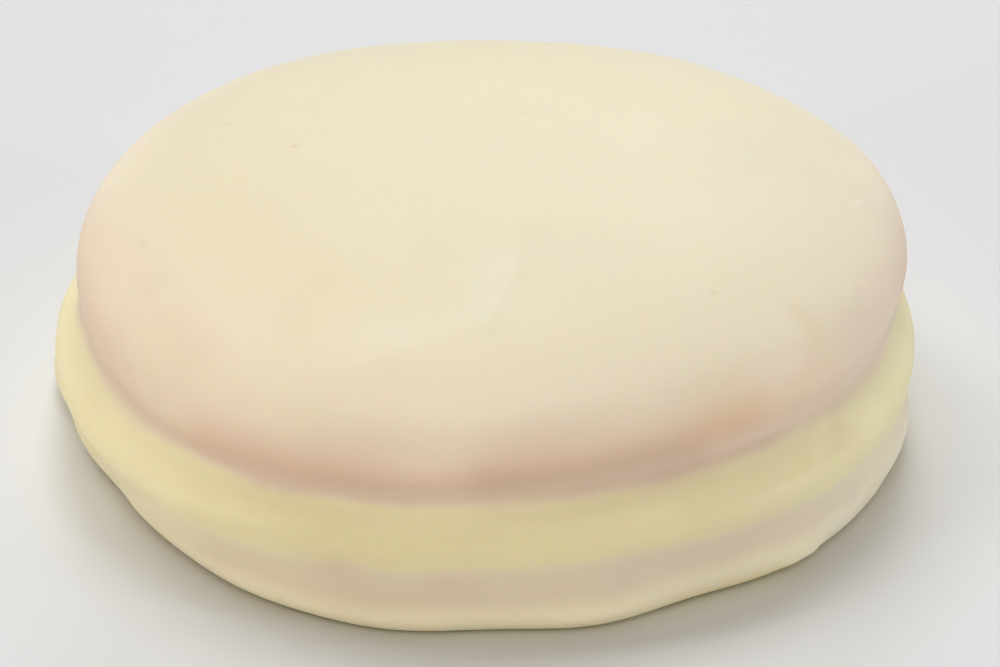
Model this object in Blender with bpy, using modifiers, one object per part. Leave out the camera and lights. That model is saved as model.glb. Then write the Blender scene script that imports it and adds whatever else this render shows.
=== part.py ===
"""Lemon sandwich cake: two round sponge cakes with a lemon cream filling between them, the whole dipped in a
thin pale lemon coating. The coating runs over the joints, so the side is one soft line with two shallow
valleys, and it leaves the outline a little uneven.

Metres, +Z up. The origin is the middle of the flat underside, and -Y is the side that faces the viewer.
"""

import math

import bpy

# Driving dimensions
HEIGHT = 0.0216
CROWN_RADIUS = 0.0307  # upper cake at its widest
CROWN_WIDEST = 0.0137  # height at which it is widest
UPPER_SEAM_RADIUS = 0.0302
UPPER_SEAM = 0.0109
FILLING_RADIUS = 0.03245
FILLING_WIDEST = 0.0081
LOWER_SEAM_RADIUS = 0.0318
LOWER_SEAM = 0.0049
BASE_RADIUS = 0.0320  # lower cake at its widest
BASE_WIDEST = 0.0027
FOOT_RADIUS = 0.0297  # flat underside that it stands on
LAYER_GAP = 0.0003

# The side swings between its wide levels and its valleys, and the coating evens out its curves over this height.
SIDE = (
    (BASE_WIDEST, BASE_RADIUS),
    (LOWER_SEAM, LOWER_SEAM_RADIUS),
    (FILLING_WIDEST, FILLING_RADIUS),
    (UPPER_SEAM, UPPER_SEAM_RADIUS),
    (CROWN_WIDEST, CROWN_RADIUS),
)
SIDE_SOFTNESS = 0.0009
SOFTENING_STEPS = 4  # radii taken each way for that

# The crown is a superellipse: it stays level over the middle and rounds down at the shoulder.
CROWN_FLATNESS = 3.6
CROWN_ROUNDNESS = 2.05
LEVEL_SHARE = 0.8  # share of the radius that counts as the level middle

# Unevenness of the outline at each level: how many lobes, how far they stand out, and which way the first points.
CROWN_LOBES = ((1, 0.00016, 16), (2, 0.00030, 80), (3, 0.00061, 24), (4, 0.00023, -134), (5, 0.00014, -138))
FILLING_LOBES = ((2, 0.00016, -135), (3, 0.00015, -108), (4, 0.00036, -154))
BASE_LOBES = ((2, 0.00047, -107), (3, 0.00050, 123), (4, 0.00071, -73), (5, 0.00024, 118))

# The joints aren't quite level: they rise this much for each metre towards the given direction.
JOINT_SLOPE = 0.026
JOINT_RISES_TOWARDS = 43

# Mesh fineness
TURN_STEPS = 72
LEVEL_STEPS = 5
SHOULDER_STEPS = 9
SIDE_STEPS = 4
FILLING_STEPS = 8
FOOT_STEPS = 5
WELD = 0.00001

SPONGE_UNDER_COATING = (0.81, 0.66, 0.46, 1.0)
CREAM_UNDER_COATING = (0.80, 0.70, 0.36, 1.0)


def clear_scene():
    for old in list(bpy.data.objects):
        bpy.data.objects.remove(old)


def coating_material(name, colour):
    """Firm lemon coating: pale and slightly glossy."""
    material = bpy.data.materials.new(name)
    material.use_nodes = True
    shader = material.node_tree.nodes["Principled BSDF"]
    shader.inputs["Base Color"].default_value = colour
    shader.inputs["Roughness"].default_value = 0.45
    shader.inputs["Metallic"].default_value = 0.0
    return material


def shares(steps):
    """The shares 1/steps, 2/steps, ... 1."""
    return [step / steps for step in range(1, steps + 1)]


def ease(share):
    """0 to 1 with a level start and end."""
    share = min(max(share, 0.0), 1.0)
    return share * share * (3 - 2 * share)


def crown():
    """(radius, height) from the middle of the top down to the upper cake's widest level."""
    rise = HEIGHT - CROWN_WIDEST

    def height_share(radius_share):
        return (1 - radius_share**CROWN_FLATNESS) ** (1 / CROWN_ROUNDNESS)

    level = [LEVEL_SHARE * share for share in shares(LEVEL_STEPS)]
    points = [(0.0, HEIGHT)]
    points += [(CROWN_RADIUS * out, CROWN_WIDEST + rise * height_share(out)) for out in level]
    for share in shares(SHOULDER_STEPS):
        up = height_share(LEVEL_SHARE) * (1 - share)
        out = (1 - up**CROWN_ROUNDNESS) ** (1 / CROWN_FLATNESS)
        points.append((CROWN_RADIUS * out, CROWN_WIDEST + rise * up))
    return points


def wave_radius(height):
    """Radius of the side at a height, as half waves between its wide levels and its valleys."""
    for (low, low_radius), (high, high_radius) in zip(SIDE, SIDE[1:]):
        if height <= high:
            break
    swing = (1 - math.cos(math.pi * (height - low) / (high - low))) / 2
    return low_radius + (high_radius - low_radius) * swing


def side_radius(height):
    """The same, evened out by the coating: the mean of the radii a little above and below."""
    reach = min(SIDE_SOFTNESS, height - BASE_WIDEST, CROWN_WIDEST - height)
    steps = range(-SOFTENING_STEPS, SOFTENING_STEPS + 1)
    nearby = [wave_radius(height + reach * step / SOFTENING_STEPS) for step in steps]
    return sum(nearby) / len(nearby)


def side(start, end, steps):
    """(radius, height) down the side between two heights."""
    heights = [start + (end - start) * share for share in [0, *shares(steps)]]
    return [(side_radius(height), height) for height in heights]


def foot():
    """Rounded lower edge, from the lower cake's widest level in to the flat underside."""
    points = []
    for share in shares(FOOT_STEPS):
        turn = math.radians(90) * share
        radius = FOOT_RADIUS + (BASE_RADIUS - FOOT_RADIUS) * math.cos(turn)
        points.append((radius, BASE_WIDEST * (1 - math.sin(turn))))
    return points


def stand_out(lobes, angle):
    """How far the outline stands out at an angle."""
    return sum(size * math.cos(count * angle - math.radians(turn)) for count, size, turn in lobes)


def uneven(point):
    """Moves a point of the true turned shape to where the hand-made cake has it."""
    x, y, z = point
    radius = math.hypot(x, y)
    angle = math.atan2(y, x)
    crown_share = ease((z - FILLING_WIDEST) / (CROWN_WIDEST - FILLING_WIDEST))
    base_share = 1 - ease((z - BASE_WIDEST / 2) / (FILLING_WIDEST - BASE_WIDEST / 2))
    out = crown_share * stand_out(CROWN_LOBES, angle)
    out += base_share * stand_out(BASE_LOBES, angle)
    out += (1 - crown_share - base_share) * stand_out(FILLING_LOBES, angle)
    radius += out * radius / CROWN_RADIUS

    joints_share = ease(z / LOWER_SEAM) * (1 - ease((z - UPPER_SEAM) / (HEIGHT - UPPER_SEAM)))
    towards = math.cos(angle - math.radians(JOINT_RISES_TOWARDS))
    rise = JOINT_SLOPE * radius * towards * joints_share
    return radius * math.cos(angle), radius * math.sin(angle), z + rise


def layer(name, outline, colour, collection):
    """One layer as a solid: its outline, closed to the axis, turned all the way round and made uneven."""
    top, bottom = outline[0][1], outline[-1][1]
    if outline[0][0] > 0:
        outline = [(0.0, top)] + outline
    outline = outline + [(0.0, bottom)]
    profile = bpy.data.meshes.new(name + "_profile")
    edges = [(step, step + 1) for step in range(len(outline) - 1)]
    profile.from_pydata([(radius, 0.0, height) for radius, height in outline], edges, [])
    guide = bpy.data.objects.new(name + "_profile", profile)
    collection.objects.link(guide)

    turning = guide.modifiers.new("turn", "SCREW")
    turning.axis = "Z"
    turning.steps = turning.render_steps = TURN_STEPS
    turning.use_merge_vertices = True
    turning.merge_threshold = WELD
    bpy.context.view_layer.update()
    turned = guide.evaluated_get(bpy.context.evaluated_depsgraph_get())
    mesh = bpy.data.meshes.new_from_object(turned)
    bpy.data.objects.remove(guide)
    bpy.data.meshes.remove(profile)

    mesh.name = name
    for vertex in mesh.vertices:
        vertex.co = uneven(vertex.co)
    mesh.shade_smooth()
    mesh.set_sharp_from_angle(angle=math.radians(35))
    mesh.materials.clear()
    mesh.materials.append(coating_material(name + "_coating", colour))
    solid = bpy.data.objects.new(name, mesh)
    collection.objects.link(solid)
    return solid


def centre_on_origin(solids):
    """Puts the middle of the whole outline over the origin, because the lobes pull it aside."""
    corners = [vertex.co for solid in solids for vertex in solid.data.vertices]
    for axis in (0, 1):
        along = [corner[axis] for corner in corners]
        middle = (min(along) + max(along)) / 2
        for solid in solids:
            solid.location[axis] = -middle


def build_cake():
    cake = bpy.data.collections.new("lemon_cake")
    bpy.context.scene.collection.children.link(cake)

    half_gap = LAYER_GAP / 2
    upper = crown() + side(CROWN_WIDEST, UPPER_SEAM + half_gap, SIDE_STEPS)[1:]
    filling = side(UPPER_SEAM - half_gap, LOWER_SEAM + half_gap, FILLING_STEPS)
    lower = side(LOWER_SEAM - half_gap, BASE_WIDEST, SIDE_STEPS) + foot()

    solids = [
        layer("upper_cake", upper, SPONGE_UNDER_COATING, cake),
        layer("lemon_filling", filling, CREAM_UNDER_COATING, cake),
        layer("lower_cake", lower, SPONGE_UNDER_COATING, cake),
    ]
    centre_on_origin(solids)


clear_scene()
build_cake()
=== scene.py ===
"""Looks of the lemon cake: two rounds of sponge with a lemon filling between them, dipped whole in a thin
pale lemon coating. Metres, +Z up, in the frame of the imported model; -Y is the side that faces the viewer.
"""
import math

import bpy
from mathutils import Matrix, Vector


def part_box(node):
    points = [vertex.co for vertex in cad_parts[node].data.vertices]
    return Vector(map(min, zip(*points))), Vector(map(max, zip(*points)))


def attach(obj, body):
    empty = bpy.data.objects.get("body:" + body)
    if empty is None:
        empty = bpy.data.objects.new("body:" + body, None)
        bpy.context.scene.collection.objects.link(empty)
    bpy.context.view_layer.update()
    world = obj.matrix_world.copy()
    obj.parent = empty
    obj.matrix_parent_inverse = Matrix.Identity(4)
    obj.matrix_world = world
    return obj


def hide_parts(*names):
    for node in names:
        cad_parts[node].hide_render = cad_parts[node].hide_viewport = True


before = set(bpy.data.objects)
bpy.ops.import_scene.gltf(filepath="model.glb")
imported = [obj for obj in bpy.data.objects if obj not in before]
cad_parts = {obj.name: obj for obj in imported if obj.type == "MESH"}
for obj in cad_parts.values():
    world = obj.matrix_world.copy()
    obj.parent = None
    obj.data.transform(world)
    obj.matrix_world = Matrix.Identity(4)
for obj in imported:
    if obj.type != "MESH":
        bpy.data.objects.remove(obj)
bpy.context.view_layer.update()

# ----------------------------------------------------------------------------------------------------
# Lower cake: the round of sponge that the cake stands on, level below and rounded at the foot. The cake is
# dipped whole, so its side belongs to the coating, which runs on over both joints. One Geometry Nodes tree
# makes each layer: it turns a profile all the way round and adds the uneven outline and the coating's relief.

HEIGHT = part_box("upper_cake")[1].z
CROWN_RADIUS, CROWN_WIDEST = 0.0307, 0.0137
UPPER_SEAM_RADIUS, UPPER_SEAM = 0.0302, 0.0109
FILLING_RADIUS, FILLING_WIDEST = 0.03245, 0.0081
LOWER_SEAM_RADIUS, LOWER_SEAM = 0.0318, 0.0049
BASE_RADIUS, BASE_WIDEST = 0.0320, 0.0027
FOOT_RADIUS = 0.0297
SIDE = (
    (BASE_WIDEST, BASE_RADIUS),
    (LOWER_SEAM, LOWER_SEAM_RADIUS),
    (FILLING_WIDEST, FILLING_RADIUS),
    (UPPER_SEAM, UPPER_SEAM_RADIUS),
    (CROWN_WIDEST, CROWN_RADIUS),
)
SIDE_SOFTNESS = 0.0009  # height over which the coating evens out the side's curves
SOFTENING_STEPS = 4  # radii taken each way for that
CAP_RECESS, CAP_RIM = 0.00015, 0.0006  # flat faces in the joints: how far back, and from how far in
CAP_STEPS = 12
RELIEF_FADE = (0.0002, 0.0022)  # no relief where the cake stands, and all of it above this
WELD = 1e-7
SHARP_ANGLE = math.radians(40)

# How many lobes the outline has at each level, how far they stand out, and which way the first one points
CROWN_LOBES = ((1, 0.00016, 16), (2, 0.00030, 80), (3, 0.00061, 24), (4, 0.00023, -134), (5, 0.00014, -138))
FILLING_LOBES = ((2, 0.00016, -135), (3, 0.00015, -108), (4, 0.00036, -154))
BASE_LOBES = ((2, 0.00047, -107), (3, 0.00050, 123), (4, 0.00071, -73), (5, 0.00024, 118))
FOOT_LOBES = ((6, 0.00008, -92), (10, 0.00014, -38), (13, 0.00015, 101), (16, 0.00009, -128))  # drips
OUTLINE_MIDDLE = (0.00042, 0.00008)  # brings the middle of the uneven outline over the origin

JOINT_SLOPE = 0.026  # the joints rise this much for each metre
JOINT_RISES_TOWARDS = math.radians(43)

# Marks in the coating: from, to, half width, and height (less than 0 is a dent)
MARKS = (
    # A fold in the skin of the top, and shallow hollows around it
    ((0.0032, -0.0108, 0.0214), (0.0026, -0.0180, 0.0209), 0.0007, 0.00008),
    ((0.0026, -0.0180, 0.0209), (0.0006, -0.0235, 0.0198), 0.0007, 0.00008),
    ((0.0006, -0.0235, 0.0198), (-0.0075, -0.0265, 0.0184), 0.0010, 0.00007),
    ((0.0050, -0.0140, 0.0212), (0.0090, -0.0155, 0.0210), 0.0028, -0.00014),
    ((-0.0030, -0.0130, 0.0213), (-0.0022, -0.0160, 0.0211), 0.0020, -0.00006),
    ((0.0206, -0.0010, 0.0207), (0.0190, 0.0030, 0.0210), 0.0030, -0.00018),
    ((-0.0126, -0.0225, 0.0192), (-0.0150, -0.0190, 0.0197), 0.0030, -0.00012),
    # Swells at the far edge of the top
    ((0.0080, 0.0232, 0.0194), (0.0155, 0.0215, 0.0192), 0.0032, 0.00018),
    ((0.0286, 0.0094, 0.0173), (0.0297, 0.0060, 0.0172), 0.0028, 0.00012),
    # A crease at the right shoulder and a bubble behind it, and a drip on the left shoulder
    ((0.0222, -0.0178, 0.0175), (0.0243, -0.0185, 0.0147), 0.0010, -0.00017),
    ((0.0232, -0.0192, 0.0168), (0.0252, -0.0182, 0.0147), 0.0009, 0.00010),
    ((0.0276, -0.0027, 0.0187), (0.0276, -0.0026, 0.0187), 0.0003, 0.00008),
    ((-0.0245, 0.0110, 0.0183), (-0.0241, 0.0112, 0.0185), 0.0005, 0.00022),
    # A crease across the filling at the right, and coating run together in the joint below it
    ((0.0249, -0.0201, 0.0097), (0.0241, -0.0229, 0.0081), 0.0009, -0.00014),
    ((0.0290, -0.0130, 0.0050), (0.0318, -0.0020, 0.0054), 0.0016, 0.00022),
    # A run of coating at the foot, and flats at its left and right
    ((0.0234, -0.0221, 0.0012), (0.0218, -0.0236, 0.0012), 0.0008, 0.00048),
    ((-0.0300, 0.0140, 0.0030), (-0.0320, -0.0010, 0.0030), 0.0026, -0.00084),
    ((-0.0317, -0.0040, 0.0028), (-0.0314, -0.0050, 0.0028), 0.0022, -0.00030),
    ((-0.0270, -0.0128, 0.0023), (-0.0266, -0.0137, 0.0019), 0.0022, -0.00062),
    ((0.0299, -0.0132, 0.0018), (0.0282, -0.0162, 0.0016), 0.0020, -0.00048),
)


def put(tree, kind, *feeds, pick=0, named=None, **settings):
    """Adds a node with its settings, feeds its inputs in order or by name, and returns one output."""
    made = tree.nodes.new(kind)
    for name, value in settings.items():
        setattr(made, name, value)
    for key, feed in [*enumerate(feeds), *(named or {}).items()]:
        if isinstance(feed, bpy.types.NodeSocket):
            tree.links.new(feed, made.inputs[key])
        elif feed is not None:
            made.inputs[key].default_value = feed
    return made.outputs[pick]


def calc(tree, operation, *values):
    """A Math node's result."""
    return put(tree, "ShaderNodeMath", *values, operation=operation)


def vector(tree, operation, *values, pick=0, **named):
    """A Vector Math node's result, which is a number where pick is 1."""
    return put(tree, "ShaderNodeVectorMath", *values, operation=operation, pick=pick, named=named)


def total(tree, values):
    """The sum of several values."""
    summed = values[0]
    for value in values[1:]:
        summed = calc(tree, "ADD", summed, value)
    return summed


def ease(tree, value, start, end):
    """0 before start and 1 after end, with a level start and end."""
    return put(tree, "ShaderNodeMapRange", value, start, end, interpolation_type="SMOOTHSTEP")


def coordinates(tree, place):
    """The X, Y and Z outputs of a place."""
    split = tree.nodes.new("ShaderNodeSeparateXYZ")
    tree.links.new(place, split.inputs[0])
    return split.outputs


def tree_inputs(tree, sockets):
    """Makes the tree's named inputs, (name, socket type, default), and returns its input node's outputs."""
    for name, kind, default in sockets:
        socket = tree.interface.new_socket(name, in_out="INPUT", socket_type=kind)
        if default is not None:
            socket.default_value = default
    return tree.nodes.new("NodeGroupInput").outputs


def tree_output(tree, name, kind, result):
    """Makes a named output of the tree and feeds it."""
    tree.interface.new_socket(name, in_out="OUTPUT", socket_type=kind)
    ends = [node for node in tree.nodes if node.type == "GROUP_OUTPUT"]
    end = ends[0] if ends else tree.nodes.new("NodeGroupOutput")
    tree.links.new(result, end.inputs[name])


def noise(tree, place, size, detail=1.0, seed=0.0, roughness=0.4):
    """Noise from 0 to 1 whose patches are about as large as size."""
    scale = calc(tree, "DIVIDE", 1.0, size)
    feeds = {"Vector": place, "W": seed, "Scale": scale, "Detail": detail, "Roughness": roughness}
    return put(tree, "ShaderNodeTexNoise", named=feeds, noise_dimensions="4D")


def stand_out(tree, lobes, angle):
    """How far the outline stands out at an angle."""
    waves = []
    for count, size, turn in lobes:
        phase = calc(tree, "MULTIPLY_ADD", angle, count, -math.radians(turn))
        waves.append(calc(tree, "MULTIPLY", calc(tree, "COSINE", phase), size))
    return total(tree, waves)


def nearness(tree, place, start, end, half_width):
    """1 along a line, falling softly to 0 away from it."""
    run = Vector(end) - Vector(start)
    offset = vector(tree, "SUBTRACT", place, start)
    along = calc(tree, "DIVIDE", vector(tree, "DOT_PRODUCT", offset, run, pick=1), run.length_squared)
    nearest = vector(tree, "SCALE", run, Scale=put(tree, "ShaderNodeClamp", along))
    away = calc(tree, "DIVIDE", vector(tree, "DISTANCE", offset, nearest, pick=1), half_width)
    return calc(tree, "EXPONENT", calc(tree, "MULTIPLY", calc(tree, "MULTIPLY", away, away), -1.0))


def dipped_layer_tree():
    """Geometry Nodes: a profile in the XZ plane, turned all the way round and made uneven by the dip."""
    tree = bpy.data.node_groups.new("dipped_layer", "GeometryNodeTree")
    given = tree_inputs(tree, (
        ("Profile", "NodeSocketGeometry", None),
        ("Turn Steps", "NodeSocketInt", 512),
        ("Unevenness", "NodeSocketFloat", 1.0),
        ("Joint Slope", "NodeSocketFloat", JOINT_SLOPE),
        ("Swell Depth", "NodeSocketFloat", 0.00022),
        ("Swell Size", "NodeSocketFloat", 0.011),
        ("Ripple Depth", "NodeSocketFloat", 0.00006),
        ("Ripple Size", "NodeSocketFloat", 0.0035),
        ("Seed", "NodeSocketFloat", 4.0),
        ("Coating", "NodeSocketMaterial", None),
    ))

    # A grid with one row for each point of the profile, and one column for each step of the turn
    rows = put(tree, "GeometryNodeAttributeDomainSize", given["Profile"])
    columns = calc(tree, "ADD", given["Turn Steps"], 1.0)
    grid = put(tree, "GeometryNodeMeshGrid", 1.0, 1.0, columns, rows)
    place = put(tree, "GeometryNodeInputPosition")
    across = coordinates(tree, place)
    angle = calc(tree, "MULTIPLY", calc(tree, "ADD", across["X"], 0.5), math.tau)
    row = calc(tree, "MULTIPLY", calc(tree, "ADD", across["Y"], 0.5), calc(tree, "SUBTRACT", rows, 1.0))
    row = put(tree, "FunctionNodeFloatToInt", row, rounding_mode="ROUND")
    feeds = (given["Profile"], place, row)
    on_profile = put(tree, "GeometryNodeSampleIndex", *feeds, data_type="FLOAT_VECTOR")
    profile = coordinates(tree, on_profile)
    level = profile["Z"]

    # The uneven outline
    crown_share = ease(tree, level, FILLING_WIDEST, CROWN_WIDEST)
    base_share = calc(tree, "SUBTRACT", 1.0, ease(tree, level, BASE_WIDEST / 2, FILLING_WIDEST))
    filling_share = calc(tree, "SUBTRACT", calc(tree, "SUBTRACT", 1.0, crown_share), base_share)
    foot_share = calc(tree, "SUBTRACT", 1.0, ease(tree, level, BASE_WIDEST / 2, LOWER_SEAM))
    levels = (
        (crown_share, CROWN_LOBES),
        (filling_share, FILLING_LOBES),
        (base_share, BASE_LOBES),
        (foot_share, FOOT_LOBES),
    )
    lobed = [calc(tree, "MULTIPLY", share, stand_out(tree, lobes, angle)) for share, lobes in levels]
    out = calc(tree, "MULTIPLY", total(tree, lobed), given["Unevenness"])
    radius_share = calc(tree, "DIVIDE", profile["X"], CROWN_RADIUS)
    radius = calc(tree, "MULTIPLY_ADD", out, radius_share, profile["X"])

    # The sloping joints
    uphill = calc(tree, "COSINE", calc(tree, "SUBTRACT", angle, JOINT_RISES_TOWARDS))
    under_top = calc(tree, "SUBTRACT", 1.0, ease(tree, level, UPPER_SEAM, HEIGHT))
    joints_share = calc(tree, "MULTIPLY", ease(tree, level, 0.0, LOWER_SEAM), under_top)
    slope = calc(tree, "MULTIPLY", calc(tree, "MULTIPLY", uphill, joints_share), given["Joint Slope"])
    x = calc(tree, "MULTIPLY_ADD", radius, calc(tree, "COSINE", angle), OUTLINE_MIDDLE[0])
    y = calc(tree, "MULTIPLY_ADD", radius, calc(tree, "SINE", angle), OUTLINE_MIDDLE[1])
    z = calc(tree, "MULTIPLY_ADD", slope, radius, level)
    smooth = put(tree, "ShaderNodeCombineXYZ", x, y, z)

    # Relief, outwards from a flattened ball of the cake's size, and none where the cake stands
    from_middle = vector(tree, "SUBTRACT", smooth, (0.0, 0.0, FILLING_WIDEST))
    steepness = (1 / CROWN_RADIUS**2, 1 / CROWN_RADIUS**2, 1 / (HEIGHT / 2) ** 2)
    outwards = vector(tree, "NORMALIZE", vector(tree, "MULTIPLY", from_middle, steepness))
    relief = [calc(tree, "MULTIPLY", nearness(tree, smooth, *mark[:3]), mark[3]) for mark in MARKS]
    for name, detail in (("Swell", 1.0), ("Ripple", 2.0)):
        wave = noise(tree, smooth, given[name + " Size"], detail=detail, seed=given["Seed"])
        relief.append(calc(tree, "MULTIPLY", calc(tree, "SUBTRACT", wave, 0.5), given[name + " Depth"]))
    lift = calc(tree, "MULTIPLY", total(tree, relief), ease(tree, level, *RELIEF_FADE))
    shaped = vector(tree, "ADD", smooth, vector(tree, "SCALE", outwards, Scale=lift))

    turned = put(tree, "GeometryNodeSetPosition", grid, None, shaped)
    welded = put(tree, "GeometryNodeMergeByDistance", turned, named={"Distance": WELD})
    smoothed = put(tree, "GeometryNodeSetShadeSmooth", welded)
    whole = put(tree, "GeometryNodeRealizeInstances", smoothed)
    coated = put(tree, "GeometryNodeSetMaterial", whole, None, given["Coating"])
    tree_output(tree, "Layer", "NodeSocketGeometry", coated)
    return tree


def shares(steps):
    """The shares 1/steps, 2/steps, ... 1."""
    return [step / steps for step in range(1, steps + 1)]


def wave_radius(height):
    """Radius of the side at a height, as half waves between its wide levels and its valleys."""
    for (low, low_radius), (high, high_radius) in zip(SIDE, SIDE[1:]):
        if height <= high:
            break
    swing = (1 - math.cos(math.pi * (height - low) / (high - low))) / 2
    return low_radius + (high_radius - low_radius) * swing


def side_radius(height):
    """The same, evened out by the coating."""
    reach = min(SIDE_SOFTNESS, height - BASE_WIDEST, CROWN_WIDEST - height)
    steps = range(-SOFTENING_STEPS, SOFTENING_STEPS + 1)
    nearby = [wave_radius(height + reach * step / SOFTENING_STEPS) for step in steps]
    return sum(nearby) / len(nearby)


def side_rows(start, end, steps):
    """(radius, height) down the side from a start, left out, to an end, with the rows closest at both."""
    heights = [start + (end - start) * (1 - math.cos(math.pi * share)) / 2 for share in shares(steps)]
    return [(side_radius(height), height) for height in heights]


def joint_cap(height, recess):
    """Flat face inside a joint, from its rim in to the axis."""
    rim = side_radius(height) - CAP_RIM
    return [(rim * (1 - share), height + recess) for share in [0, *shares(CAP_STEPS)]]


def dipped_layer(name, profile, material):
    """One layer of the cake as a plain mesh: its profile, turned by the tree above."""
    line = bpy.data.meshes.new(name + "_profile")
    edges = [(step, step + 1) for step in range(len(profile) - 1)]
    line.from_pydata([(radius, 0.0, height) for radius, height in profile], edges, [])
    layer = bpy.data.objects.new(name, line)
    bpy.context.scene.collection.objects.link(layer)

    turning = layer.modifiers.new("turning", "NODES")
    turning.node_group = DIPPED_LAYER
    for item in DIPPED_LAYER.interface.items_tree:
        if item.name == "Coating":
            turning[item.identifier] = material
    bpy.context.view_layer.update()
    turned = layer.evaluated_get(bpy.context.evaluated_depsgraph_get())
    mesh = bpy.data.meshes.new_from_object(turned)
    layer.modifiers.remove(turning)
    layer.data = mesh
    bpy.data.meshes.remove(line)
    mesh.name = name
    mesh.set_sharp_from_angle(angle=SHARP_ANGLE)
    return layer


# The coating's colours, from the top down
CREAM = (0.852, 0.786, 0.609, 1)  # on the level top
SHOULDER_PAINTED_LIGHT = (0.900, 0.813, 0.672, 1)  # painted light: paler on the shoulder, standing in for light that falls there
BROWNED = (0.790, 0.600, 0.492, 1)  # thin over the baked rim of the upper cake
JOINT_PINK_AND_SHADE = (0.760, 0.610, 0.500, 1)  # at the joint below that rim: the pink of the thin coating, darkened as painted shade of the joint
LEDGE_PAINTED_LIGHT = (0.885, 0.815, 0.572, 1)  # painted light: paler on the upward face of the ledge that the filling makes, where light falls on it
LEMON = (0.832, 0.762, 0.520, 1)  # over the filling
BLUSH = (0.777, 0.680, 0.542, 1)  # thin over the rim of the lower cake
LIP = (0.882, 0.806, 0.627, 1)  # run together at the foot
FOOT_PAINTED_BOUNCE = (0.900, 0.800, 0.485, 1)  # painted yellow light, bounced up from the floor onto the lowest edge of the foot
RIGHT_PAINTED_COOL_LIGHT = (0.890, 0.830, 0.685, 1)  # painted light: the top and shoulder paler and cooler at the right, where cooler light falls
MOTTLE = (0.830, 0.742, 0.560, 1)
PINHOLE = (0.620, 0.450, 0.280, 1)

# Heights between which one goes over to the next, along the joints
SHOULDER_LIGHT_TO_CREAM = (0.0173, 0.0208)
LEMON_TO_LEDGE_LIGHT = (FILLING_WIDEST, UPPER_SEAM - 0.0015)
LEDGE_TO_SHOULDER = (UPPER_SEAM - 0.0010, UPPER_SEAM + 0.0003)
LIP_TO_LEMON = (LOWER_SEAM, FILLING_WIDEST - 0.0013)
FOOT_BOUNCE_TO_LIP = (0.0002, 0.0016)

# Where the coating is thin over both rims and the pink shows, and the joint between them, pink and darkened
# as painted shade
UPPER_RIM = {
    "rim_from": UPPER_SEAM + 0.0003,
    "rim_to": UPPER_SEAM + 0.0006,
    "fade_below": 0.0010,
    "fade_above": 0.0057,
}
UPPER_JOINT_PINK_AND_SHADE = {
    "rim_from": UPPER_SEAM + 0.0002,
    "rim_to": UPPER_SEAM + 0.0005,
    "fade_below": 0.0012,
    "fade_above": 0.0015,
    "patchiness": 0.8,
}
LOWER_RIM = {
    "rim_from": LOWER_SEAM - 0.0006,
    "rim_to": LOWER_SEAM + 0.0001,
    "fade_below": 0.0021,
    "fade_above": 0.0018,
    "patchiness": 0.8,
}

# Where the colours differ towards the sides, the paler right being painted light: between which X, and by how
# much
RIGHT_COOL_LIGHT_SPAN, RIGHT_COOL_LIGHT_SHARE = (-0.004, 0.026), 0.7
LEMON_HANG_SPAN, LEMON_HANG = (-0.022, -0.030), 0.0036  # the lemon hangs lower at the left
RIM_RISE_SPAN, RIM_RISE = (0.020, 0.031), 0.0014  # the pink of the upper rim sits higher at both sides
BLUSH_LEFT_SPAN = (-0.0245, -0.0165)  # no blush left of this
BLUSH_RIGHT_SPAN, BLUSH_RIGHT_LOSS = (0.021, 0.029), 0.5

MOTTLE_RANGE = (0.35, 0.75)
PINHOLE_SHARE = 0.18
GRAIN_RANGE, ROUGHNESS = (0.3, 0.7), (0.46, 0.54)  # the grain's heights, and how rough they are
GRAIN_OVER_SPONGE, GRAIN_OVER_FILLING = 0.0000015, 0.0000008
TRANSLUCENCY, LIGHT_REACH = 0.4, 0.0012
OPAQUE_REACH = 0.0014  # from a joint

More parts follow.
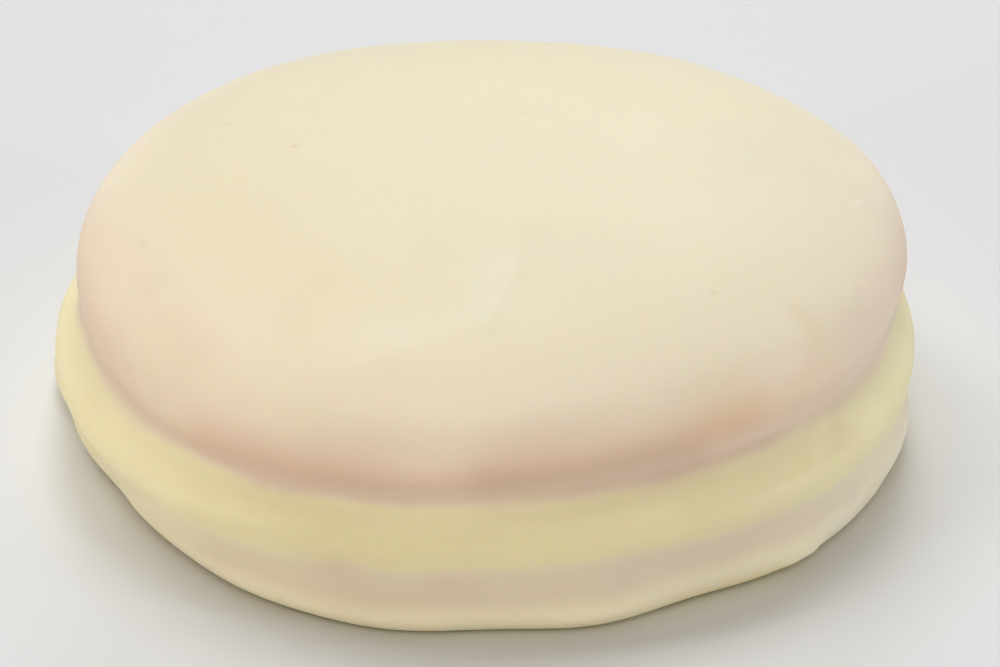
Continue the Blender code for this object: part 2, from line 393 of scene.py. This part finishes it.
# Where it is tinted otherwise: from, to, half width, share and colour
TINTED = (
    # Broad washes on the top: greyer at the right, warmer at the left, yellower at the back
    ((0.0200, 0.0010, 0.0208), (0.0280, -0.0100, 0.0178), 0.0060, 0.22, (0.850, 0.780, 0.640)),
    ((-0.0178, -0.0050, 0.0208), (-0.0112, -0.0185, 0.0203), 0.0050, 0.20, (0.875, 0.765, 0.565)),
    ((0.0000, 0.0170, 0.0212), (0.0180, 0.0110, 0.0206), 0.0090, 0.25, (0.868, 0.802, 0.560)),
    # Painted light along the lit side of the fold, and painted shade in the hollows
    ((0.0014, -0.0168, 0.0211), (0.0012, -0.0210, 0.0204), 0.0017, 0.34, (0.868, 0.838, 0.745)),
    ((0.0000, -0.0225, 0.0200), (-0.0060, -0.0245, 0.0190), 0.0018, 0.22, (0.870, 0.838, 0.725)),
    ((0.0052, -0.0145, 0.0212), (0.0095, -0.0155, 0.0209), 0.0032, 0.30, (0.825, 0.745, 0.610)),
    ((-0.0032, -0.0130, 0.0213), (-0.0024, -0.0160, 0.0211), 0.0022, 0.20, (0.820, 0.740, 0.610)),
    ((0.0211, 0.0005, 0.0206), (0.0203, 0.0036, 0.0207), 0.0030, 0.25, (0.800, 0.735, 0.630)),
    ((-0.0120, -0.0238, 0.0188), (-0.0124, -0.0210, 0.0195), 0.0016, 0.25, (0.800, 0.740, 0.560)),
    # Upper rim: painted shade deepest in the joint before the middle, orange crumb right of it, and both
    # shoulders
    ((0.0010, -0.0302, 0.0113), (0.0150, -0.0268, 0.0117), 0.0016, 0.55, (0.670, 0.520, 0.415)),
    ((0.0168, -0.0248, 0.0134), (0.0180, -0.0240, 0.0136), 0.0021, 0.28, (0.780, 0.590, 0.390)),
    ((0.0150, -0.0262, 0.0134), (0.0228, -0.0198, 0.0140), 0.0026, 0.22, (0.800, 0.650, 0.450)),
    ((-0.0285, -0.0020, 0.0168), (-0.0195, -0.0215, 0.0168), 0.0035, 0.50, (0.826, 0.706, 0.575)),
    ((0.0262, -0.0150, 0.0135), (0.0300, -0.0020, 0.0150), 0.0035, 0.50, (0.770, 0.685, 0.595)),
    # Painted shade along the crease at the right shoulder
    ((0.0222, -0.0178, 0.0175), (0.0243, -0.0185, 0.0147), 0.0009, 0.22, (0.790, 0.690, 0.470)),
    # Lemon: painted shade at the right but paler on its ledge, painted light at the left but deeper on its
    # ledge
    ((0.0150, -0.0280, 0.0076), (0.0262, -0.0190, 0.0082), 0.0016, 0.40, (0.770, 0.700, 0.480)),
    ((0.0268, -0.0182, 0.0093), (0.0312, -0.0080, 0.0096), 0.0014, 0.35, (0.960, 0.930, 0.690)),
    ((-0.0318, -0.0040, 0.0064), (-0.0215, -0.0240, 0.0058), 0.0024, 0.60, (0.920, 0.850, 0.630)),
    ((-0.0200, -0.0250, 0.0056), (-0.0130, -0.0295, 0.0054), 0.0018, 0.28, (0.900, 0.850, 0.590)),
    ((-0.0322, 0.0010, 0.0092), (-0.0275, -0.0150, 0.0094), 0.0013, 0.30, (0.780, 0.700, 0.500)),
    # Lower cake: pale pink foot at the right, and pink patches where the sponge shows most
    ((0.0245, -0.0205, 0.0014), (0.0305, -0.0080, 0.0020), 0.0020, 0.60, (0.815, 0.762, 0.680)),
    ((0.0100, -0.0300, 0.0048), (0.0262, -0.0185, 0.0040), 0.0015, 0.38, (0.750, 0.645, 0.560)),
    ((-0.0020, -0.0320, 0.0044), (-0.0008, -0.0320, 0.0046), 0.0011, 0.40, (0.760, 0.600, 0.500)),
    ((-0.0092, -0.0302, 0.0050), (-0.0082, -0.0304, 0.0052), 0.0009, 0.30, (0.740, 0.630, 0.500)),
    ((0.0018, -0.0320, 0.0051), (0.0032, -0.0318, 0.0050), 0.0008, 0.25, (0.740, 0.620, 0.510)),
    # Blotches, baked crumbs and grey specks in the top, and a painted highlight on the bubble
    ((-0.0105, -0.0184, 0.0205), (-0.0099, -0.0184, 0.0205), 0.0009, 0.17, (0.870, 0.700, 0.490)),
    ((-0.0226, -0.0150, 0.0182), (-0.0219, -0.0144, 0.0184), 0.0010, 0.22, (0.780, 0.700, 0.580)),
    ((-0.0135, 0.0012, 0.0213), (-0.0134, 0.0014, 0.0213), 0.0003, 0.26, (0.760, 0.520, 0.340)),
    ((-0.0187, 0.0064, 0.0206), (-0.0186, 0.0066, 0.0206), 0.0003, 0.22, (0.760, 0.600, 0.400)),
    ((-0.0106, 0.0209, 0.0199), (-0.0105, 0.0211, 0.0199), 0.0004, 0.26, (0.660, 0.590, 0.440)),
    ((-0.0236, -0.0094, 0.0188), (-0.0236, -0.0092, 0.0188), 0.0003, 0.20, (0.660, 0.600, 0.460)),
    ((0.0035, 0.0064, 0.0216), (0.0035, 0.0066, 0.0216), 0.0003, 0.15, (0.680, 0.640, 0.480)),
    ((0.0000, -0.0109, 0.0215), (0.0000, -0.0106, 0.0215), 0.0004, 0.12, (0.700, 0.670, 0.540)),
    ((-0.0128, -0.0219, 0.0194), (-0.0128, -0.0217, 0.0194), 0.0004, 0.11, (0.680, 0.620, 0.460)),
    ((0.0145, 0.0049, 0.0213), (0.0145, 0.0051, 0.0213), 0.0003, 0.16, (0.700, 0.640, 0.460)),
    # A painted highlight on the bubble
    ((0.0276, -0.0028, 0.0187), (0.0277, -0.0026, 0.0187), 0.0003, 0.35, (0.950, 0.920, 0.870)),
)

# Where the coating stayed thick over the upper rim: from, to, half width, and the share of the pink hidden
THICK_SPOTS = (
    ((-0.0036, -0.0307, 0.0136), (-0.0022, -0.0309, 0.0146), 0.0026, 0.35),
    ((0.0080, -0.0288, 0.0148), (0.0100, -0.0280, 0.0152), 0.0022, 0.15),
    ((-0.0305, -0.0020, 0.0122), (-0.0245, -0.0172, 0.0122), 0.0024, 0.36),
    ((-0.0222, -0.0205, 0.0122), (-0.0205, -0.0223, 0.0124), 0.0024, 0.50),
    ((0.0218, -0.0215, 0.0132), (0.0290, -0.0100, 0.0142), 0.0026, 0.40),
)

# A Mix node's sockets when it mixes colours
FACTOR, COLOUR_A, COLOUR_B, MIXED = 0, 6, 7, 2


def blend(tree, share, colour, other):
    """Goes from one colour to another as the share goes from 0 to 1."""
    feeds = {FACTOR: share, COLOUR_A: colour, COLOUR_B: other}
    return put(tree, "ShaderNodeMix", named=feeds, pick=MIXED, data_type="RGBA")


def grouped(tree, group, pick, **feeds):
    """Places a shader node group with its values, and returns the outputs that are picked by name."""
    made = tree.nodes.new("ShaderNodeGroup")
    made.node_tree = group
    for name, feed in feeds.items():
        socket = made.inputs[name.replace("_", " ").title()]
        if isinstance(feed, bpy.types.NodeSocket):
            tree.links.new(feed, socket)
        else:
            socket.default_value = feed
    return [made.outputs[name] for name in pick]


def level_along_joints(tree, place):
    """Height above the foot, measured along the sloping joints."""
    height = coordinates(tree, place)["Z"]
    slope = Vector((math.cos(JOINT_RISES_TOWARDS), math.sin(JOINT_RISES_TOWARDS), 0.0)) * JOINT_SLOPE
    rise = vector(tree, "DOT_PRODUCT", place, slope, pick=1)
    under_top = calc(tree, "SUBTRACT", 1.0, ease(tree, height, UPPER_SEAM, HEIGHT))
    return calc(tree, "SUBTRACT", height, calc(tree, "MULTIPLY", rise, under_top))


def dip_level_group():
    """The same, with the wavy borders of the dip."""
    tree = bpy.data.node_groups.new("dip_level", "ShaderNodeTree")
    given = tree_inputs(tree, (
        ("Place", "NodeSocketVector", None),
        ("Wave Height", "NodeSocketFloat", 0.0012),
        ("Wave Size", "NodeSocketFloat", 0.008),
    ))
    level = level_along_joints(tree, given["Place"])
    wave = noise(tree, given["Place"], given["Wave Size"], detail=2.0, seed=1.0, roughness=0.5)
    level = calc(tree, "MULTIPLY_ADD", calc(tree, "SUBTRACT", wave, 0.5), given["Wave Height"], level)
    tree_output(tree, "Level", "NodeSocketFloat", level)
    return tree


def thin_rim_group():
    """How far the coating has run off a rim and lets the baked sponge show through; also the share of the
    joint's painted shade.
    """
    tree = bpy.data.node_groups.new("thin_rim", "ShaderNodeTree")
    given = tree_inputs(tree, (
        ("Place", "NodeSocketVector", None),
        ("Level", "NodeSocketFloat", 0.0),
        ("Rim From", "NodeSocketFloat", 0.0),
        ("Rim To", "NodeSocketFloat", 0.0),
        ("Fade Below", "NodeSocketFloat", 0.001),
        ("Fade Above", "NodeSocketFloat", 0.004),
        ("Patch Size", "NodeSocketFloat", 0.007),
        ("Patchiness", "NodeSocketFloat", 0.5),
    ))
    below = calc(tree, "SUBTRACT", given["Rim From"], given["Fade Below"])
    patch = noise(tree, given["Place"], given["Patch Size"], detail=2.0, seed=7.0, roughness=0.5)
    patch = calc(tree, "MULTIPLY_ADD", calc(tree, "SUBTRACT", patch, 0.5), given["Patchiness"], 1.0)
    above = calc(tree, "MULTIPLY_ADD", given["Fade Above"], patch, given["Rim To"])
    rising = ease(tree, given["Level"], below, given["Rim From"])
    falling = calc(tree, "SUBTRACT", 1.0, ease(tree, given["Level"], given["Rim To"], above))
    tree_output(tree, "Share", "NodeSocketFloat", calc(tree, "MULTIPLY", rising, falling))
    return tree


def skin_group():
    """The set skin of the coating: broad soft waves, a fine grain, and a few pinholes left by bubbles."""
    tree = bpy.data.node_groups.new("coating_skin", "ShaderNodeTree")
    given = tree_inputs(tree, (
        ("Place", "NodeSocketVector", None),
        ("Wave Size", "NodeSocketFloat", 0.0022),
        ("Wave Depth", "NodeSocketFloat", 0.000012),
        ("Grain Size", "NodeSocketFloat", 0.00035),
        ("Grain Depth", "NodeSocketFloat", 0.0000015),
        ("Pinhole Spacing", "NodeSocketFloat", 0.0065),
        ("Pinhole Size", "NodeSocketFloat", 0.0003),
        ("Pinhole Depth", "NodeSocketFloat", 0.00003),
    ))
    waves = noise(tree, given["Place"], given["Wave Size"], detail=2.0, seed=3.0)
    grain = noise(tree, given["Place"], given["Grain Size"], detail=2.0, seed=5.0, roughness=0.6)
    spacing = calc(tree, "DIVIDE", 1.0, given["Pinhole Spacing"])
    feeds = {"Vector": given["Place"], "Scale": spacing, "Randomness": 0.9}
    away = put(tree, "ShaderNodeTexVoronoi", named=feeds, voronoi_dimensions="3D")
    away = calc(tree, "MULTIPLY", away, given["Pinhole Spacing"])
    away = calc(tree, "DIVIDE", away, given["Pinhole Size"])
    pinhole = calc(tree, "EXPONENT", calc(tree, "MULTIPLY", calc(tree, "MULTIPLY", away, away), -1.0))
    height = total(tree, [
        calc(tree, "MULTIPLY", waves, given["Wave Depth"]),
        calc(tree, "MULTIPLY", grain, given["Grain Depth"]),
        calc(tree, "MULTIPLY", calc(tree, "MULTIPLY", pinhole, given["Pinhole Depth"]), -1.0),
    ])
    tree_output(tree, "Height", "NodeSocketFloat", height)
    tree_output(tree, "Grain", "NodeSocketFloat", grain)
    tree_output(tree, "Pinhole", "NodeSocketFloat", pinhole)
    return tree


def colour_group(thin_rim):
    """The coating's colour: a band for each layer, pinker where it is thin over a rim, tinted and mottled,
    with painted light and shade in places.
    """
    tree = bpy.data.node_groups.new("coating_colour", "ShaderNodeTree")
    given = tree_inputs(tree, (
        ("Place", "NodeSocketVector", None),
        ("Level", "NodeSocketFloat", 0.0),
        ("Mottle Size", "NodeSocketFloat", 0.009),
        ("Mottle Share", "NodeSocketFloat", 0.18),
    ))
    place, level = given["Place"], given["Level"]

    # Cream over the sponge, lemon over the filling, and a paler lip at the foot, with painted light on the
    # shoulder, the ledge and the right side and painted bounce light at the foot's lowest edge
    sideways = coordinates(tree, place)["X"]
    colour = blend(tree, ease(tree, level, *SHOULDER_LIGHT_TO_CREAM), SHOULDER_PAINTED_LIGHT, CREAM)
    cool_light_to_right = calc(tree, "MULTIPLY", ease(tree, sideways, *RIGHT_COOL_LIGHT_SPAN), RIGHT_COOL_LIGHT_SHARE)
    colour = blend(tree, cool_light_to_right, colour, RIGHT_PAINTED_COOL_LIGHT)
    lemon = blend(tree, ease(tree, level, *LEMON_TO_LEDGE_LIGHT), LEMON, LEDGE_PAINTED_LIGHT)
    colour = blend(tree, ease(tree, level, *LEDGE_TO_SHOULDER), lemon, colour)
    low_level = calc(tree, "MULTIPLY_ADD", ease(tree, sideways, *LEMON_HANG_SPAN), LEMON_HANG, level)
    colour = blend(tree, ease(tree, low_level, *LIP_TO_LEMON), LIP, colour)
    colour = blend(tree, ease(tree, level, *FOOT_BOUNCE_TO_LIP), FOOT_PAINTED_BOUNCE, colour)

    # Pinker on both rims, and pinker with painted shade in the joint between them, but less so where the
    # coating stayed thick
    to_sides = ease(tree, calc(tree, "ABSOLUTE", sideways), *RIM_RISE_SPAN)
    rim_level = calc(tree, "MULTIPLY_ADD", to_sides, -RIM_RISE, level)
    upper_rim, = grouped(tree, thin_rim, ["Share"], place=place, level=rim_level, **UPPER_RIM)
    joint_pink_and_shade, = grouped(tree, thin_rim, ["Share"], place=place, level=level, **UPPER_JOINT_PINK_AND_SHADE)
    for start, end, half_width, share in THICK_SPOTS:
        hidden = calc(tree, "MULTIPLY", nearness(tree, place, start, end, half_width), share)
        shown = calc(tree, "SUBTRACT", 1.0, hidden)
        upper_rim = calc(tree, "MULTIPLY", upper_rim, shown)
        joint_pink_and_shade = calc(tree, "MULTIPLY", joint_pink_and_shade, shown)
    colour = blend(tree, upper_rim, colour, BROWNED)
    colour = blend(tree, joint_pink_and_shade, colour, JOINT_PINK_AND_SHADE)
    lower_rim, = grouped(tree, thin_rim, ["Share"], place=place, level=level, **LOWER_RIM)
    lower_rim = calc(tree, "MULTIPLY", lower_rim, ease(tree, sideways, *BLUSH_LEFT_SPAN))
    at_right = calc(tree, "MULTIPLY_ADD", ease(tree, sideways, *BLUSH_RIGHT_SPAN), -BLUSH_RIGHT_LOSS, 1.0)
    colour = blend(tree, calc(tree, "MULTIPLY", lower_rim, at_right), colour, BLUSH)

    # Tinted and mottled by what lies under it and by how thickly it set, with painted light and shade in some
    # of the tints
    for start, end, half_width, share, tint in TINTED:
        tinted = calc(tree, "MULTIPLY", nearness(tree, place, start, end, half_width), share)
        colour = blend(tree, tinted, colour, (*tint, 1))
    cloud = noise(tree, place, given["Mottle Size"], detail=3.0, seed=11.0, roughness=0.5)
    cloud = ease(tree, cloud, *MOTTLE_RANGE)
    colour = blend(tree, calc(tree, "MULTIPLY", cloud, given["Mottle Share"]), colour, MOTTLE)
    tree_output(tree, "Color", "NodeSocketColor", colour)
    return tree


DIPPED_LAYER = dipped_layer_tree()
DIP_LEVEL = dip_level_group()
SKIN = skin_group()
COLOUR = colour_group(thin_rim_group())


def coating_material(name, grain_depth):
    """Set lemon coating: satin, finely grained and a little translucent."""
    material = bpy.data.materials.new(name)
    material.use_nodes = True
    tree = material.node_tree
    shader = tree.nodes["Principled BSDF"]
    place = put(tree, "ShaderNodeTexCoord", pick="Object")
    level, = grouped(tree, DIP_LEVEL, ["Level"], place=place)
    colour, = grouped(tree, COLOUR, ["Color"], place=place, level=level)
    skin = grouped(tree, SKIN, ["Height", "Grain", "Pinhole"], place=place, grain_depth=grain_depth)
    height, grain, pinhole = skin
    colour = blend(tree, calc(tree, "MULTIPLY", pinhole, PINHOLE_SHARE), colour, PINHOLE)
    tree.links.new(colour, shader.inputs["Base Color"])
    roughness = put(tree, "ShaderNodeMapRange", grain, *GRAIN_RANGE, *ROUGHNESS)
    tree.links.new(roughness, shader.inputs["Roughness"])
    bump = put(tree, "ShaderNodeBump", named={"Strength": 1.0, "Distance": 1.0, "Height": height})
    tree.links.new(bump, shader.inputs["Normal"])
    shader.inputs["IOR"].default_value = 1.45

    # Light doesn't pass from one layer's mesh to the next, so the coating is opaque right at the joints
    true_level = level_along_joints(tree, place)
    from_upper = calc(tree, "ABSOLUTE", calc(tree, "SUBTRACT", true_level, UPPER_SEAM))
    from_lower = calc(tree, "ABSOLUTE", calc(tree, "SUBTRACT", true_level, LOWER_SEAM))
    clear = ease(tree, calc(tree, "MINIMUM", from_upper, from_lower), 0.0, OPAQUE_REACH)
    tree.links.new(calc(tree, "MULTIPLY", clear, TRANSLUCENCY), shader.inputs["Subsurface Weight"])
    shader.inputs["Subsurface Radius"].default_value = (1.0, 0.65, 0.4)
    shader.inputs["Subsurface Scale"].default_value = LIGHT_REACH
    return material


coating_over_sponge = coating_material("coating_over_sponge", GRAIN_OVER_SPONGE)

SIDE_ROWS, FOOT_ROWS, UNDERSIDE_ROWS = 16, 24, 16
lower_side = [(side_radius(LOWER_SEAM), LOWER_SEAM)] + side_rows(LOWER_SEAM, BASE_WIDEST, SIDE_ROWS)
foot = []
for share in shares(FOOT_ROWS):
    turn = math.pi / 2 * share
    foot_radius = FOOT_RADIUS + (BASE_RADIUS - FOOT_RADIUS) * math.cos(turn)
    foot.append((foot_radius, BASE_WIDEST * (1 - math.sin(turn))))
underside = [(FOOT_RADIUS * (1 - share), 0.0) for share in shares(UNDERSIDE_ROWS)]
lower_profile = joint_cap(LOWER_SEAM, -CAP_RECESS)[::-1] + lower_side + foot + underside
lower_cake = dipped_layer("lower_cake_coated", lower_profile, coating_over_sponge)
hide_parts("lower_cake")
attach(lower_cake, "root")

# ----------------------------------------------------------------------------------------------------
# Filling: a layer of firm lemon cream, wider than both cakes, so it swells out between them as a rounded
# ledge. It is spread on the lower cake and pressed down by the upper one. The coating over it is yellower and
# smoother than over the sponge, because no crumb shows through.

coating_over_filling = coating_material("coating_over_filling", GRAIN_OVER_FILLING)

FILLING_ROWS = 36
filling_side = [(side_radius(UPPER_SEAM), UPPER_SEAM)] + side_rows(UPPER_SEAM, LOWER_SEAM, FILLING_ROWS)
filling_profile = joint_cap(UPPER_SEAM, -CAP_RECESS)[::-1] + filling_side + joint_cap(LOWER_SEAM, CAP_RECESS)
filling = dipped_layer("lemon_filling_coated", filling_profile, coating_over_filling)
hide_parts("lemon_filling")
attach(filling, "root")

# ----------------------------------------------------------------------------------------------------
# Upper cake: the second round of sponge, level on top with a rounded shoulder, pressed onto the filling. Its
# rim baked darker, and the coating ran thin there before it set, so a pinkish brown shows through all round.

CROWN_FLATNESS, CROWN_ROUNDNESS = 3.6, 2.05
LEVEL_SHARE = 0.8  # share of the radius that counts as the level middle
TOP_ROWS, SHOULDER_ROWS, RIM_ROWS = 50, 44, 18


def crown_height(radius_share):
    """Height above the widest level, as a share: a superellipse."""
    return (1 - radius_share**CROWN_FLATNESS) ** (1 / CROWN_ROUNDNESS)


def crown_radius(height_share):
    """The same curve, read the other way."""
    return (1 - height_share**CROWN_ROUNDNESS) ** (1 / CROWN_FLATNESS)


rise = HEIGHT - CROWN_WIDEST
crown = [(0.0, HEIGHT)]
for share in shares(TOP_ROWS):
    out = LEVEL_SHARE * share
    crown.append((CROWN_RADIUS * out, CROWN_WIDEST + rise * crown_height(out)))
for share in shares(SHOULDER_ROWS):
    up = crown_height(LEVEL_SHARE) * (1 - share)
    crown.append((CROWN_RADIUS * crown_radius(up), CROWN_WIDEST + rise * up))
rim = side_rows(CROWN_WIDEST, UPPER_SEAM, RIM_ROWS)
upper_profile = crown + rim + joint_cap(UPPER_SEAM, CAP_RECESS)
upper_cake = dipped_layer("upper_cake_coated", upper_profile, coating_over_sponge)
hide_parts("upper_cake")
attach(upper_cake, "root")

# ----------------------------------------------------------------------------------------------------
# Floor: a plain pale matt sheet that the cake stands on, wide enough to fill every view. It is only there
# to catch the shadow and isn't part of the cake.

floor_finish = bpy.data.materials.new("floor_finish")
floor_finish.use_nodes = True
floor_shader = floor_finish.node_tree.nodes["Principled BSDF"]
floor_shader.inputs["Base Color"].default_value = (0.8, 0.8, 0.8, 1)
floor_shader.inputs["Roughness"].default_value = 0.6
bpy.ops.mesh.primitive_plane_add(size=4.0, location=(0.0, 0.0, 0.0))
floor = bpy.context.object
floor.name = "floor"
floor.data.materials.append(floor_finish)

# ----------------------------------------------------------------------------------------------------
# Light: a pale room, a wide soft window behind the cake, white cards that stand low at its left and right and
# light its side without filling the shadow before it, and a higher one in front. Each is a far soft lamp.

room = bpy.data.worlds.new("room")
bpy.context.scene.world = room
room.use_nodes = True
room.node_tree.nodes["Background"].inputs["Color"].default_value = (1.0, 0.965, 0.925, 1)
room.node_tree.nodes["Background"].inputs["Strength"].default_value = 0.43

WINDOW_LIGHT = (0.91, 0.95, 1.0)
LAMPS = (  # azimuth, elevation and angular size in degrees, strength and colour
    ("window_high", 90, 66, 26, 0.81, WINDOW_LIGHT),
    ("window_left", 142, 57, 26, 0.60, WINDOW_LIGHT),
    ("window_low", 90, 25, 26, 0.43, WINDOW_LIGHT),
    ("card_left", 210, 4, 8, 0.76, (1.0, 1.0, 0.93)),
    ("card_right", 342, 4, 8, 0.93, (0.84, 0.92, 1.0)),
    ("card_front", 270, 45, 26, 0.49, (1.0, 0.96, 0.91)),
)


def towards(azimuth, elevation):
    """Unit vector to a direction given in radians."""
    level = math.cos(elevation)
    return Vector((math.cos(azimuth) * level, math.sin(azimuth) * level, math.sin(elevation)))


for lamp_name, azimuth, elevation, size, strength, colour in LAMPS:
    lamp_data = bpy.data.lights.new(lamp_name, "SUN")
    lamp_data.angle = math.radians(size)
    lamp_data.energy = strength
    lamp_data.color = colour
    lamp = bpy.data.objects.new(lamp_name, lamp_data)
    bpy.context.scene.collection.objects.link(lamp)
    away = towards(math.radians(azimuth), math.radians(elevation))
    lamp.rotation_euler = away.to_track_quat("Z", "Y").to_euler()

# ----------------------------------------------------------------------------------------------------
# Camera: a long lens close to the cake, looking down on it from the front, with the whole cake sharp. The
# gamma gives the picture the contrast of a camera's own film curve.

VIEW_HEIGHT = math.radians(28.49)
LOOK_AT = Vector((0.00164, 0.00008, 0.00638))
DISTANCE = 0.260
FILM_WIDTH, FOCAL_LENGTH = 36.0, 124.74  # mm
NEAREST_SHOWN = 0.01
FILM_GAMMA = 1.4
camera_data = bpy.data.cameras.new("camera")
camera_data.sensor_width = FILM_WIDTH
camera_data.lens = FOCAL_LENGTH
camera_data.clip_start = NEAREST_SHOWN
camera = bpy.data.objects.new("camera", camera_data)
bpy.context.scene.collection.objects.link(camera)
away = towards(math.radians(-90), VIEW_HEIGHT)
camera.location = LOOK_AT + away * DISTANCE
camera.rotation_euler = away.to_track_quat("Z", "Y").to_euler()
bpy.context.scene.camera = camera
bpy.context.scene.view_settings.view_transform = "Standard"
bpy.context.scene.view_settings.gamma = 1 / FILM_GAMMA
